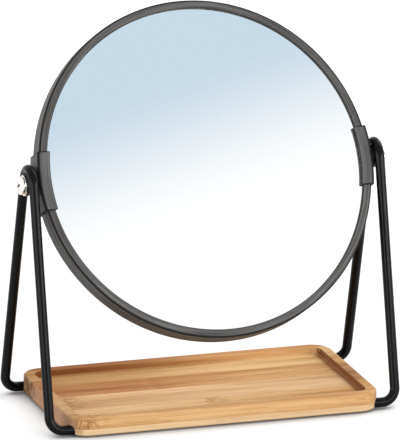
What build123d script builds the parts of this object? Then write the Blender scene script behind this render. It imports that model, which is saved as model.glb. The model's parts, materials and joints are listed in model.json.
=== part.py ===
"""Round tilting vanity mirror on a bent wire stand with a bamboo tray.

Units are millimetres. X runs left to right, Y runs front to rear, Z is up. The origin is on the
surface that the object stands on, in the middle of the stand. The mirror leans back at rest.
"""
from build123d import *
import os
from math import asin, atan2, cos, degrees, hypot, pi, radians, sin, sqrt

os.makedirs("parts", exist_ok=True)

# ---------------------------------------------------------------- driving dimensions
# wire stand
wire_d = 5.0                # round steel wire
pivot_height = 122.0        # floor to the tilt axis
top_bend_r = 7.9            # middle of the wire round the pivot
foot_bend_r = 7.0           # middle of the wire at each foot

# bamboo tray
tray_end_gap = 9.4          # tray end to the middle of the wire's legs, along X
tray_depth = 88.6           # along Y
run_inset = 5.9             # tray edge to the middle of the wire's run below it
tray_height = 9.8
tray_corner_r = 10.6
tray_edge_r = 1.4           # rounding of the outer edges
tray_rim = 5.7              # width of the rim round the recess
recess_depth = 3.6
recess_floor_r = 0.8        # cove between the recess walls and its floor
recess_lip_r = 0.5          # rounding of the rim's inner edge
groove_play = 0.10          # between the wire and its groove in the tray

# pads under the tray
pad_d = 9.0
pad_height = 0.8            # also lifts the tray and the wire off the floor
pad_inset = 15.0            # tray end to the middle of a pad
pad_setback = 18.0          # tray's front or rear edge to the middle of a pad

# tabs that hold the tray to the wire, and their screws
tab_inset = 30.6            # tray end to the middle of each tab
tab_width = 14.0            # along X
tab_reach = 12.0            # beyond the wire, along Y
tab_thickness = 1.4
tab_corner_r = 2.3
tab_play = 0.15             # between a tab and its pocket
tab_screw_d = 2.9
tab_screw_head_d = 5.6
tab_screw_head = 1.3
tab_head_taper = 20         # degrees
tab_screw_bite = 2.0        # length in the wood
screw_play = 0.02           # round a screw in the hole that it is driven into

# mirror
tilt = 29.2                 # lean from upright, top to the rear
rim_outer_r = 87.8
rim_face = 4.3              # width of the rim's lips, over gasket and glass
rim_depth = 11.7            # front face to rear face
rim_sheet = 0.9
rim_edge_r = 0.85           # rounding of the rolled corners
rim_lip_r = 0.35            # rounding where each lip ends over the glass
rim_joint_gap = 0.3         # between the two half hoops
glass_edge_gap = 1.8        # glass edge to the inside of the rim's web
glass_thickness = 2.0
glass_edge = 0.3            # ground edge
gasket_thickness = 0.6
gasket_edge_gap = 0.4       # gasket edge to the inside of the rim's web

# clips that cover the rim's joints
clip_sheet = 1.1
clip_play = 0.05
clip_face = 1.1             # thickness of its front and rear plates
clip_reach = 1.2            # how far its plates reach over the glass, past the rim's lips
clip_length = 30.8          # between its ends, up the glass
clip_web_edge_r = 0.9       # rounding of the bends between web and plates
clip_edge_r = 0.45          # rounding where each plate ends over the glass
clip_corner_r = 1.2         # rounding of the plates' corners over the glass
clip_seat_r = 6.4           # flat round seat for the bushing
clip_seat = 0.2             # how far the seat stands out of the clip

# joiner plate inside each rim joint
joiner_thickness = 1.35
joiner_play = 0.05
joiner_arc = 16.0           # degrees round the rim

# pivot
pivot_screw_d = 5.0
pivot_head_d = 9.4
pivot_head = 1.9
pivot_head_round = 1.0
cross_width = 1.25
cross_length = 5.2
cross_depth = 1.5
cross_taper = 18            # degrees
pivot_running_play = 0.05   # between the screw and the bushing's bore, on the radius
pivot_hole_play = 0.15      # between the screw and the holes of clip, rim and washer
bush_flange_lap = 0.7       # flange between clip and wire, how far it reaches over the wire
bush_flange = 1.405         # its thickness
bush_collar_lap = 0.3       # collar outside the wire, how far it reaches over the wire
bush_collar = 1.3           # its thickness
bush_hub_play = 0.12
washer_r = 5.25
washer_thickness = 0.85
lock_washer_r = 4.1
lock_washer_thickness = 0.5
lock_washer_split = 0.9
washer_edge = 0.15          # broken edges of washers and bushings
seat_play = 0.03            # where the bushing's flange and collar rest on the round wire

# ---------------------------------------------------------------- worked out from them
wire_r = wire_d / 2
screw_r = pivot_screw_d / 2

# across the mirror, from its axis outwards
opening_r = rim_outer_r - rim_face
rim_web_r = rim_outer_r - rim_sheet
glass_r = rim_web_r - glass_edge_gap
gasket_outer_r = rim_web_r - gasket_edge_gap
joiner_outer_r = rim_web_r - joiner_play
joiner_inner_r = joiner_outer_r - joiner_thickness
clip_inner_r = opening_r - clip_reach
clip_web_r = rim_outer_r + clip_play
clip_outer_r = clip_web_r + clip_sheet
seat_x = clip_outer_r + clip_seat
clip_sweep = 2 * degrees(asin(clip_length / 2 / clip_inner_r))

# through the mirror, from its middle to its faces
rim_half = rim_depth / 2
stack_half = rim_half - rim_sheet - gasket_thickness
core_half = stack_half - glass_thickness
clip_back = rim_half + clip_play
clip_half = clip_back + clip_face


def wire_side_offset(lap):
    """How far a flat disc that reaches this far over the wire stays from the wire's plane."""
    return sqrt(wire_r**2 - (wire_r - lap) ** 2) + seat_play


# along the tilt axis, from the clip outwards
bend_clear_r = top_bend_r - wire_r
bush_flange_r = bend_clear_r + bush_flange_lap
bush_collar_r = bend_clear_r + bush_collar_lap
bush_flange_x = seat_x + bush_flange
wire_plane_x = bush_flange_x + wire_side_offset(bush_flange_lap)
bush_collar_x = wire_plane_x + wire_side_offset(bush_collar_lap)
washer_x = bush_collar_x + bush_collar
lock_washer_x = washer_x + washer_thickness
head_x = lock_washer_x + lock_washer_thickness

# tray, pads and tabs
tray_length = 2 * (wire_plane_x - tray_end_gap)
tray_bottom = pad_height
tray_top = tray_bottom + tray_height
recess_floor = tray_top - recess_depth
run_height = tray_bottom + wire_r
foot_y = tray_depth / 2 - run_inset
tab_x = tray_length / 2 - tab_inset
tab_screw_y = foot_y - wire_r - (tab_reach - wire_r) / 2

# each leg runs from its foot tangent to the bend round the pivot, so both legs of a side meet
# at a point above the pivot
leg_rise = pivot_height - run_height
leg_lean = atan2(foot_y, leg_rise) - asin(top_bend_r / hypot(foot_y, leg_rise))
leg_apex_z = pivot_height + top_bend_r / sin(leg_lean)

# the mirror's own axes: local x is X, local y points up the glass, local z out of its front
lean = radians(tilt)
front_normal = (0, -cos(lean), sin(lean))
mirror_plane = Plane(origin=(0, 0, pivot_height), x_dir=(1, 0, 0), z_dir=front_normal)
mirror_axis = Axis((0, 0, pivot_height), front_normal)

sides = (("left", -1), ("right", 1))
ends = (("front", -1), ("rear", 1))


def round_the_rim(angle):
    """Section plane through the mirror's axis: local x points outwards, local y to the front."""
    outwards = mirror_plane.x_dir * cos(radians(angle)) + mirror_plane.y_dir * sin(radians(angle))
    along = Vector(*front_normal).cross(outwards) * -1
    return Plane(origin=mirror_plane.origin, x_dir=outwards, z_dir=along)


def across_the_pivot(side, distance):
    """Plane square to the tilt axis, this far from the middle, facing away from the middle."""
    return Plane(
        origin=(side * distance, 0, pivot_height), x_dir=mirror_plane.y_dir, z_dir=(side, 0, 0)
    )


def channel(inner_r, web_r, outer_r, back, half):
    """Section of a channel that opens inwards: a web outside, a lip at the front and the rear."""
    with BuildSketch() as profile:
        with Locations(((inner_r + outer_r) / 2, 0)):
            Rectangle(outer_r - inner_r, 2 * half)
        with Locations(((inner_r + web_r) / 2, 0)):
            Rectangle(web_r - inner_r, 2 * back, mode=Mode.SUBTRACT)
    return profile.sketch


def save(part, name):
    """Name a finished piece and write it."""
    part.label = name
    export_step(part, f"parts/{name}.step")


# ---------------------------------------------------------------- wire stand
# Each side is one length of wire: a half run under the tray's front edge, the front leg, the bend
# round the pivot, the rear leg and a half run under the tray's rear edge. The two sides meet at
# butt welds in the middle of the runs.
for side_name, side in sides:
    with BuildPart() as wire_side:
        with BuildLine() as wire_route:
            FilletPolyline(
                (0, -foot_y, run_height),
                (side * wire_plane_x, -foot_y, run_height),
                (side * wire_plane_x, 0, leg_apex_z),
                (side * wire_plane_x, foot_y, run_height),
                (0, foot_y, run_height),
                radius=[foot_bend_r, top_bend_r, foot_bend_r],
            )
        route = wire_route.wires()[0]
        with BuildSketch(Plane(origin=route @ 0, z_dir=route % 0)):
            Circle(wire_r)
        sweep(path=route)
    volume_ratio = wire_side.part.volume / (route.length * pi * wire_r**2)
    print(side_name, "wire length", round(route.length, 1), "volume ratio", round(volume_ratio, 5))
    save(wire_side.part, f"{side_name}_wire_side")

# ---------------------------------------------------------------- bamboo tray
# One glued-up board with a milled recess. Its underside has a groove for each run of the wire,
# open at both ends of the tray, and a pocket beside the groove for each tab.
with BuildPart() as tray:
    with BuildSketch(Plane.XY.offset(tray_bottom)):
        RectangleRounded(tray_length, tray_depth, tray_corner_r)
    extrude(amount=tray_height)
    fillet(tray.faces().sort_by(Axis.Z)[-1].edges(), tray_edge_r)
    fillet(tray.faces().sort_by(Axis.Z)[0].edges(), tray_edge_r)
    with BuildSketch(Plane.XY.offset(recess_floor)):
        RectangleRounded(
            tray_length - 2 * tray_rim, tray_depth - 2 * tray_rim, tray_corner_r - tray_rim
        )
    extrude(amount=recess_depth, mode=Mode.SUBTRACT)
    fillet(tray.faces().filter_by(Axis.Z).group_by(Axis.Z)[-2].edges(), recess_floor_r)
    fillet(tray.faces().sort_by(Axis.Z)[-1].inner_wires()[0].edges(), recess_lip_r)
    for _, end in ends:
        with BuildSketch(Plane.YZ.offset(-tray_length / 2)):
            with Locations((end * foot_y, run_height)):
                Circle(wire_r + groove_play)
            with Locations((end * foot_y, run_height - wire_r)):
                Rectangle(wire_d + 2 * groove_play, wire_d)
        extrude(amount=tray_length, mode=Mode.SUBTRACT)
        with BuildSketch(Plane.XY.offset(tray_bottom)):
            for _, side in sides:
                with Locations((side * tab_x, end * (foot_y - tab_reach / 2))):
                    Rectangle(tab_width + 2 * tab_play, tab_reach + 2 * tab_play)
        extrude(amount=wire_r + tab_thickness / 2 + tab_play, mode=Mode.SUBTRACT)
        with BuildSketch(Plane.XY.offset(run_height)):
            for _, side in sides:
                with Locations((side * tab_x, end * tab_screw_y)):
                    Circle(tab_screw_d / 2 + screw_play)
        extrude(amount=tab_thickness / 2 + tab_screw_bite + tab_play, mode=Mode.SUBTRACT)
save(tray.part, "tray")

# ---------------------------------------------------------------- pads under the tray
with BuildPart() as non_slip_pads:
    with BuildSketch():
        with GridLocations(tray_length - 2 * pad_inset, tray_depth - 2 * pad_setback, 2, 2):
            Circle(pad_d / 2)
    extrude(amount=pad_height)
save(non_slip_pads.part, "non_slip_pads")

# ---------------------------------------------------------------- tabs and their screws
for end_name, end in ends:
    for side_name, side in sides:
        with BuildPart() as tray_tab:
            with BuildSketch(Plane.XY.offset(run_height - tab_thickness / 2)):
                with Locations((side * tab_x, end * (foot_y - tab_reach / 2))):
                    Rectangle(tab_width, tab_reach)
                with Locations((side * tab_x, end * tab_screw_y)):
                    Circle(tab_screw_d / 2 + screw_play, mode=Mode.SUBTRACT)
            extrude(amount=tab_thickness)
            # the edge that is welded to the wire is cut to the wire's round
            with BuildSketch(Plane.YZ.offset(side * tab_x - tab_width / 2)):
                with Locations((end * foot_y, run_height)):
                    Circle(wire_r)
            extrude(amount=tab_width, mode=Mode.SUBTRACT)
            free_corners = tray_tab.edges().filter_by(Axis.Z).group_by(SortBy.LENGTH)[-1]
            fillet(free_corners.sort_by(Axis.Y, reverse=end > 0)[-2:], tab_corner_r)
        save(tray_tab.part, f"{end_name}_{side_name}_tab")

with BuildPart() as tab_screws:
    for _, end in ends:
        for _, side in sides:
            with BuildSketch(Plane.XY.offset(run_height - tab_thickness / 2)):
                with Locations((side * tab_x, end * tab_screw_y)):
                    Circle(tab_screw_d / 2)
            extrude(amount=tab_thickness + tab_screw_bite)
            with BuildSketch(Plane.XY.offset(run_height - tab_thickness / 2)):
                with Locations((side * tab_x, end * tab_screw_y)):
                    Circle(tab_screw_head_d / 2)
            extrude(amount=-tab_screw_head, taper=tab_head_taper)
save(tab_screws.part, "tab_screws")

# ---------------------------------------------------------------- rim
# A channel rolled from sheet, in an upper and a lower half hoop. A lip at the front and one at the
# rear hold the glasses. The pivot screws pass through the joints.
joint_angle = degrees(rim_joint_gap / 2 / rim_outer_r)
with BuildSketch() as rim_section:
    add(channel(opening_r, rim_web_r, rim_outer_r, rim_half - rim_sheet, rim_half))
    fillet(rim_section.vertices().group_by(Axis.X)[-1], rim_edge_r)
    fillet(rim_section.vertices().group_by(Axis.X)[0], rim_lip_r)

for half_name, start in (("upper", 0), ("lower", 180)):
    with BuildPart() as half_rim:
        with BuildSketch(round_the_rim(start + joint_angle)):
            add(rim_section.sketch)
        revolve(axis=mirror_axis, revolution_arc=180 - 2 * joint_angle)
        with BuildSketch(across_the_pivot(1, 0)):
            Circle(screw_r + pivot_hole_play)
        extrude(amount=rim_outer_r + rim_sheet, both=True, mode=Mode.SUBTRACT)
    save(half_rim.part, f"{half_name}_rim")

# ---------------------------------------------------------------- glasses, core and gaskets
for face_name, face in (("front", 1), ("rear", -1)):
    with BuildPart() as glass:
        with BuildSketch(mirror_plane.offset(face * core_half)):
            Circle(glass_r)
        extrude(amount=face * glass_thickness)
        chamfer(glass.edges(), glass_edge)
    save(glass.part, f"{face_name}_mirror")

    with BuildPart() as gasket:
        with BuildSketch(mirror_plane.offset(face * stack_half)):
            Circle(gasket_outer_r)
            Circle(opening_r, mode=Mode.SUBTRACT)
        extrude(amount=face * gasket_thickness)
    save(gasket.part, f"{face_name}_gasket")

with BuildPart() as core_board:
    with BuildSketch(mirror_plane):
        Circle(glass_r)
    extrude(amount=core_half, both=True)
save(core_board.part, "core_board")

# ---------------------------------------------------------------- clips and joiner plates
with BuildSketch() as clip_section:
    add(channel(clip_inner_r, clip_web_r, clip_outer_r, clip_back, clip_half))
    fillet(clip_section.vertices().group_by(Axis.X)[-1], clip_web_edge_r)
    fillet(clip_section.vertices().group_by(Axis.X)[0], clip_edge_r)

for side_name, side in sides:
    middle = 0 if side > 0 else 180

    with BuildPart() as clip:
        with BuildSketch(round_the_rim(middle - clip_sweep)):
            add(clip_section.sketch)
        revolve(axis=mirror_axis, revolution_arc=2 * clip_sweep)
        # its ends are cut square to the tilt axis
        with BuildSketch(mirror_plane) as clip_outline:
            with Locations((side * clip_inner_r, 0)):
                Rectangle(2 * (seat_x - clip_inner_r), clip_length)
            Circle(clip_inner_r, mode=Mode.SUBTRACT)
            fillet(clip_outline.vertices().sort_by_distance((0, 0))[:2], clip_corner_r)
        extrude(amount=clip_half, both=True, mode=Mode.INTERSECT)
        # flat round seat that the bushing turns against, and the hole for the screw
        with BuildSketch(across_the_pivot(side, clip_web_r)):
            Circle(clip_seat_r)
        extrude(amount=seat_x - clip_web_r)
        with BuildSketch(across_the_pivot(side, clip_inner_r)):
            Circle(screw_r + pivot_hole_play)
        extrude(amount=clip_outer_r, mode=Mode.SUBTRACT)
    save(clip.part, f"{side_name}_clip")

    with BuildPart() as joiner:
        with BuildSketch(round_the_rim(middle - joiner_arc / 2)):
            with Locations(((joiner_inner_r + joiner_outer_r) / 2, 0)):
                Rectangle(joiner_thickness, 2 * (stack_half - joiner_play))
        revolve(axis=mirror_axis, revolution_arc=joiner_arc)
        with BuildSketch(across_the_pivot(side, clip_inner_r)):
            Circle(screw_r + screw_play)
        extrude(amount=clip_outer_r, mode=Mode.SUBTRACT)
    save(joiner.part, f"{side_name}_joiner")

# ---------------------------------------------------------------- pivots
# From the outside inwards: pan head, lock washer, flat washer, bushing with its collar outside the
# wire, its hub inside the bend and its flange between wire and clip, clip, rim joint, joiner plate.
# The bushing is pushed up between the legs into the bend, so its collar and flange hold the wire.
for side_name, side in sides:
    with BuildPart() as pivot_screw:
        with BuildSketch(across_the_pivot(side, joiner_inner_r)):
            Circle(screw_r)
        extrude(amount=head_x - joiner_inner_r)
        with BuildSketch(across_the_pivot(side, head_x)):
            Circle(pivot_head_d / 2)
        extrude(amount=pivot_head)
        top = pivot_screw.faces().sort_by(Axis.X)[-1 if side > 0 else 0]
        fillet(top.edges(), pivot_head_round)
        with BuildSketch(across_the_pivot(side, head_x + pivot_head)):
            Rectangle(cross_width, cross_length)
            Rectangle(cross_length, cross_width)
        extrude(amount=-cross_depth, taper=cross_taper, mode=Mode.SUBTRACT)
    save(pivot_screw.part, f"{side_name}_pivot_screw")

    with BuildPart() as lock_washer:
        with BuildSketch(across_the_pivot(side, lock_washer_x)):
            Circle(lock_washer_r)
            Circle(screw_r + pivot_hole_play, mode=Mode.SUBTRACT)
            with Locations((0, lock_washer_r)):
                Rectangle(lock_washer_split, 2 * lock_washer_r, mode=Mode.SUBTRACT)
        extrude(amount=lock_washer_thickness)
    save(lock_washer.part, f"{side_name}_lock_washer")

    with BuildPart() as flat_washer:
        with BuildSketch(across_the_pivot(side, washer_x)):
            Circle(washer_r)
            Circle(screw_r + pivot_hole_play, mode=Mode.SUBTRACT)
        extrude(amount=washer_thickness)
        outer_edges = flat_washer.edges().filter_by(GeomType.CIRCLE).group_by(SortBy.RADIUS)[-1]
        fillet(outer_edges, washer_edge)
    save(flat_washer.part, f"{side_name}_flat_washer")

    with BuildPart() as bushing:
        with BuildSketch(across_the_pivot(side, seat_x)):
            Circle(bush_flange_r)
        extrude(amount=bush_flange)
        chamfer(bushing.edges(), washer_edge)
        with BuildSketch(across_the_pivot(side, bush_collar_x)):
            Circle(bush_collar_r)
        extrude(amount=bush_collar)
        chamfer(bushing.edges(Select.LAST), washer_edge)
        with BuildSketch(across_the_pivot(side, bush_flange_x)):
            Circle(bend_clear_r - bush_hub_play)
        extrude(amount=bush_collar_x - bush_flange_x)
        with BuildSketch(across_the_pivot(side, seat_x)):
            Circle(screw_r + pivot_running_play)
        extrude(amount=washer_x - seat_x, mode=Mode.SUBTRACT)
    save(bushing.part, f"{side_name}_bushing")
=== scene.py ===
import json
from math import asin, cos, pi, radians, sin, sqrt, tan

import bmesh
import bpy
from mathutils import Matrix, Vector


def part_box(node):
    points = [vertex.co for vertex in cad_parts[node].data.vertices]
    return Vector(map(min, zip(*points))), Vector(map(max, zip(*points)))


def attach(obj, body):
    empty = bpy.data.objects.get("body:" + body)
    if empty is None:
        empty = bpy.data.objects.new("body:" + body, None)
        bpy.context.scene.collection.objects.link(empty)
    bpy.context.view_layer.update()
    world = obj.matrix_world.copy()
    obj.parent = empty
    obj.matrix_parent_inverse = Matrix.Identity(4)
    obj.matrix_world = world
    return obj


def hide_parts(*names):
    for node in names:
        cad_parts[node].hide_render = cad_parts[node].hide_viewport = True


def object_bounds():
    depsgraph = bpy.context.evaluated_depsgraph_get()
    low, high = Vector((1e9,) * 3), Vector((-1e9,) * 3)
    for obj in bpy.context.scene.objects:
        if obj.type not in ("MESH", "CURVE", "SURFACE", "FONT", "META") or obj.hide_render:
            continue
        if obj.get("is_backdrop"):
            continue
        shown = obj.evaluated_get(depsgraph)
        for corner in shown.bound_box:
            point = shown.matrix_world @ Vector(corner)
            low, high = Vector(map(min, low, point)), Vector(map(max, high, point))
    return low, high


# Looks of the tilting vanity mirror on its wire stand with a bamboo tray. All sizes are in metres,
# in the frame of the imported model: X runs left to right, Y front to rear, Z up from the floor.
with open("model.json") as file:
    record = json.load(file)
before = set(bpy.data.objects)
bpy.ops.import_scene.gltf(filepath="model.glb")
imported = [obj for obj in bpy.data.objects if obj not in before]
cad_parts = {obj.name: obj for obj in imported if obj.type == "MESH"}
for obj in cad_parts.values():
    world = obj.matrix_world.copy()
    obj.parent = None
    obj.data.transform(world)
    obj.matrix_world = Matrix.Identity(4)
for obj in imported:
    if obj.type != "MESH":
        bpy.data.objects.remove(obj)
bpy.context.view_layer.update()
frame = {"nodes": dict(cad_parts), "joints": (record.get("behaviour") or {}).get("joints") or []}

# ---------------------------------------------------------------- the view
# The picture is taken from the front left and a little above, through a long lens from 5.4 m away.
camera_azimuth = radians(-18.8108)
camera_elevation = radians(16.6407)
camera_roll = radians(0.8088)
camera_distance = 5.43904
camera_lens = 877.65
aim = Vector((0, 0, 0.1008))
aim_aside = -0.0011307
aim_above = -0.0045858

back = Vector((
    sin(camera_azimuth) * cos(camera_elevation),
    -cos(camera_azimuth) * cos(camera_elevation),
    sin(camera_elevation),
))
level = Vector((cos(camera_azimuth), sin(camera_azimuth), 0))
camera_right = level * cos(camera_roll) + back.cross(level) * sin(camera_roll)
camera_up = back.cross(camera_right)
camera = bpy.data.objects.new("camera", bpy.data.cameras.new("camera"))
bpy.context.scene.collection.objects.link(camera)
camera.data.sensor_width = 36
camera.data.lens = camera_lens
camera.data.clip_end = 50
stand_point = aim + camera_right * aim_aside + camera_up * aim_above + back * camera_distance
camera.matrix_world = Matrix.Translation(stand_point) @ Matrix(
    (camera_right, camera_up, back)
).transposed().to_4x4()
bpy.context.scene.camera = camera
bpy.context.scene.view_settings.view_transform = "Standard"

# ---------------------------------------------------------------- floor and light
# A white table top in white surroundings, lit by the surroundings and by three soft lamps. What the
# eye and the metal see is plain white, and the table keeps the shadow close to what stands on it.
floor_r = 2.5
floor_sides = 64
floor_grey = 0.50
floor_lift = 0.59
far_lift = 0.25
far_from = 0.3
far_to = 0.9
contact_reach = 0.018
contact_dark = 0.30
contact_clear = 0.86
surround_light = 0.60
lamps = (
    # name, place, width, height, power in watts
    ("key_lamp", Vector((1.10, 0.58, 1.15)), 1.1, 1.1, 11.0),
    ("right_lamp", Vector((1.01, -1.29, 0.54)), 1.7, 0.50, 16.0),
    ("left_lamp", Vector((-1.43, -0.41, 0.32)), 1.9, 0.50, 11.0),
)


def add(tree, kind, inputs=(), **settings):
    """A shader node with its settings; each input is given a value or joined to a socket."""
    made = tree.nodes.new("ShaderNode" + kind)
    for name, value in settings.items():
        setattr(made, name, value)
    for name, value in dict(inputs).items():
        if isinstance(value, bpy.types.NodeSocket):
            tree.links.new(value, made.inputs[name])
        else:
            made.inputs[name].default_value = value
    return made


def add_math(tree, operation, *values, clamp=False):
    """A math node's result."""
    return add(tree, "Math", enumerate(values), operation=operation, use_clamp=clamp).outputs[0]


def add_range(tree, value, low, high, to_low=0.0, to_high=1.0, kind="SMOOTHSTEP"):
    """A value spread from one range to another, and held at its ends."""
    values = {"Value": value, "From Min": low, "From Max": high, "To Min": to_low, "To Max": to_high}
    return add(tree, "MapRange", values, interpolation_type=kind).outputs[0]


def add_mix(tree, amount, under, over, kind="MIX"):
    """Two colours laid over each other."""
    values = {0: amount, 6: under, 7: over}
    return add(tree, "Mix", values, data_type="RGBA", blend_type=kind).outputs[2]


def own_place(tree):
    """A point's place along its own piece's axes, in metres."""
    return add(tree, "TexCoord").outputs["Object"]


def seen_directly(tree):
    """1 for what the camera, the metal or the glass sees, and 0 for what only lights things."""
    path = add(tree, "LightPath").outputs
    sharp = add_math(tree, "ADD", path["Is Glossy Ray"], path["Is Transmission Ray"])
    return add_math(tree, "ADD", path["Is Camera Ray"], sharp, clamp=True)


def object_from(name, mesh):
    """A new object in the scene."""
    made = bpy.data.objects.new(name, mesh)
    bpy.context.scene.collection.objects.link(made)
    return made


floor_mesh = bpy.data.meshes.new("floor")
floor_mesh.from_pydata(
    [
        (floor_r * cos(2 * pi * n / floor_sides), floor_r * sin(2 * pi * n / floor_sides), 0)
        for n in range(floor_sides)
    ],
    [], [list(range(floor_sides))],
)
floor = object_from("floor", floor_mesh)
white_top = bpy.data.materials.new("white_top")
white_top.use_nodes = True
tree = white_top.node_tree
tree.nodes.clear()
matt = add(tree, "BsdfDiffuse", {"Color": (floor_grey, floor_grey, floor_grey, 1)})
openness = add(tree, "AmbientOcclusion", {"Distance": contact_reach}, samples=8).outputs["AO"]
open_floor = add_range(tree, openness, contact_dark, contact_clear, 0, floor_lift)
from_middle = add(tree, "VectorMath", {0: own_place(tree)}, operation="LENGTH").outputs["Value"]
far_floor = add_range(tree, from_middle, far_from, far_to, 0, far_lift)
lifted = add_math(tree, "ADD", open_floor, far_floor)
lift = add(tree, "Emission", {"Strength": add_math(tree, "MULTIPLY", seen_directly(tree), lifted)})
both = add(tree, "AddShader", {0: matt.outputs[0], 1: lift.outputs[0]})
add(tree, "OutputMaterial", {"Surface": both.outputs[0]})
floor_mesh.materials.append(white_top)
floor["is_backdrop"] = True

world = bpy.data.worlds.new("white_surroundings")
world.use_nodes = True
tree = world.node_tree
tree.nodes.clear()
strength = add_range(tree, seen_directly(tree), 0, 1, surround_light, 1, "LINEAR")
sky = add(tree, "Background", {"Color": (1, 1, 1, 1), "Strength": strength})
add(tree, "OutputWorld", {"Surface": sky.outputs[0]})
bpy.context.scene.world = world

for name, place, width, height, power in lamps:
    lamp = bpy.data.lights.new(name, "AREA")
    lamp.shape = "RECTANGLE"
    lamp.size = width
    lamp.size_y = height
    lamp.energy = power
    lamp_object = object_from(name, lamp)
    lamp_object.location = place
    lamp_object.rotation_mode = "QUATERNION"
    lamp_object.rotation_quaternion = (aim - place).to_track_quat("-Z", "Y")

# ---------------------------------------------------------------- wire stand
# Two lengths of 5 mm steel wire, each bent to a narrow arch with a half run under the front and the
# rear of the tray, butt welded in the middle of the runs and powder coated satin black.
wire_r = 0.0025
foot_bend_r = 0.0070
bend_steps = 20
wire_sides = 40
sharp_angle = radians(35)
wire_low, wire_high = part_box("right_wire_side")
pivot = Vector(frame["joints"][0]["pos_m"])
wire_plane_x = wire_high.x - wire_r
foot_y = wire_high.y - wire_r
run_z = wire_low.z + wire_r
top_bend_r = wire_high.z - wire_r - pivot.z
foot_to_pivot = Vector((foot_y, pivot.z - run_z))
leg_angle = foot_to_pivot.angle(Vector((0, 1))) - asin(top_bend_r / foot_to_pivot.length)
leg_apex_z = pivot.z + top_bend_r / sin(leg_angle)
left_and_right = (("left", -1), ("right", 1))


def rounded(corners, radii, steps, closed=False):
    """Points along straight runs, with an arc of so many steps at each corner."""
    corners = [Vector(corner).to_3d() for corner in corners]
    turning = range(len(corners)) if closed else range(1, len(corners) - 1)
    points = [] if closed else [corners[0]]
    for number, radius in zip(turning, radii):
        corner = corners[number]
        before = (corners[number - 1] - corner).normalized()
        after = (corners[(number + 1) % len(corners)] - corner).normalized()
        half = before.angle(after) / 2
        centre = corner + (before + after).normalized() * radius / sin(half)
        arm = corner + before * radius / tan(half) - centre
        turn = Matrix.Rotation((pi - 2 * half) / steps, 3, arm.cross(-before))
        for _ in range(steps + 1):
            points.append(centre + arm)
            arm = turn @ arm
    return points if closed else points + [corners[-1]]


def shade(mesh):
    """Smooth shading, with sharp edges where the surface turns by more than the sharp angle."""
    mesh.shade_smooth()
    mesh.set_sharp_from_angle(angle=sharp_angle)


def skin(name, rings, closed=False):
    """A mesh through rings of points. Its UVs hold metres along the rings and metres round them."""
    count = len(rings[0])
    ends = rings[1:] + rings[:1]
    along = [0]
    for ring, following in zip(rings, ends):
        along.append(along[-1] + sum((a - b).length for a, b in zip(ring, following)) / count)
    about = [0]
    for point, following in zip(rings[0], rings[0][1:] + rings[0][:1]):
        about.append(about[-1] + (point - following).length)
    faces, places = [], []
    for i in range(len(rings) if closed else len(rings) - 1):
        j = (i + 1) % len(rings)
        for k in range(count):
            m = (k + 1) % count
            faces.append((i * count + k, i * count + m, j * count + m, j * count + k))
            places += [(along[i], about[k]), (along[i], about[k + 1])]
            places += [(along[i + 1], about[k + 1]), (along[i + 1], about[k])]
    if not closed:
        for ring in (range(count), range((len(rings) - 1) * count, len(rings) * count)):
            faces.append(tuple(ring))
            places += [(0, about[k]) for k in range(count)]
    mesh = bpy.data.meshes.new(name)
    mesh.from_pydata([point for ring in rings for point in ring], [], faces)
    layer = mesh.uv_layers.new(name="lay")
    for loop, place in zip(layer.data, places):
        loop.uv = place
    tidied = bmesh.new()
    tidied.from_mesh(mesh)
    bmesh.ops.recalc_face_normals(tidied, faces=tidied.faces)
    tidied.to_mesh(mesh)
    tidied.free()
    shade(mesh)
    return object_from(name, mesh)


def fit(piece, body, material, node):
    """Puts a finished piece on its body, in place of its plain solid."""
    piece.data.materials.append(material)
    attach(piece, body)
    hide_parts(node)


def new_material(name, **values):
    """A material with a Principled shader whose plain sockets are set, its tree and the shader."""
    material = bpy.data.materials.new(name)
    material.use_nodes = True
    shader = material.node_tree.nodes["Principled BSDF"]
    for socket, value in values.items():
        shader.inputs[socket.replace("_", " ")].default_value = value
    return material, material.node_tree, shader


def connect(tree, shader, **sockets):
    """Joins what a tree works out to its shader."""
    for name, socket in sockets.items():
        tree.links.new(socket, shader.inputs[name.replace("_", " ")])


def add_relief(tree, height, strength, depth):
    """The normal of a surface with this fine relief on it."""
    values = {"Height": height, "Strength": strength, "Distance": depth}
    return add(tree, "Bump", values).outputs[0]


def tube(name, path, radius):
    """A round bar along a path of points that turns no corner sharply."""
    rings = []
    side = None
    for number, point in enumerate(path):
        heading = (path[min(number + 1, len(path) - 1)] - path[max(number - 1, 0)]).normalized()
        if side is None:
            side = heading.orthogonal().normalized()
        side = (side - heading * side.dot(heading)).normalized()
        over = heading.cross(side)
        rings.append([
            point + (side * cos(2 * pi * n / wire_sides) + over * sin(2 * pi * n / wire_sides)) * radius
            for n in range(wire_sides)
        ])
    return skin(name, rings)


def paint(red, green, blue):
    """A colour from its display values, 0 to 255, as a shader takes it."""
    return tuple(((part / 255 + 0.055) / 1.055) ** 2.4 for part in (red, green, blue)) + (1,)


def new_group(name, inputs, outputs):
    """A shader node group with named sockets: its tree, its inputs and its output node."""
    group = bpy.data.node_groups.new(name, "ShaderNodeTree")
    for direction, sockets in (("INPUT", inputs), ("OUTPUT", outputs)):
        for socket, kind in sockets.items():
            group.interface.new_socket(socket, in_out=direction, socket_type="NodeSocket" + kind)
    entry = group.nodes.new("NodeGroupInput")
    return group, entry.outputs, group.nodes.new("NodeGroupOutput").inputs


def add_noise(tree, vector, scale=1.0, detail=2.0):
    """A soft noise, 0 to 1, whose vector may be stretched before."""
    return add(tree, "TexNoise", {"Vector": vector, "Scale": scale, "Detail": detail}).outputs[0]


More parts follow.
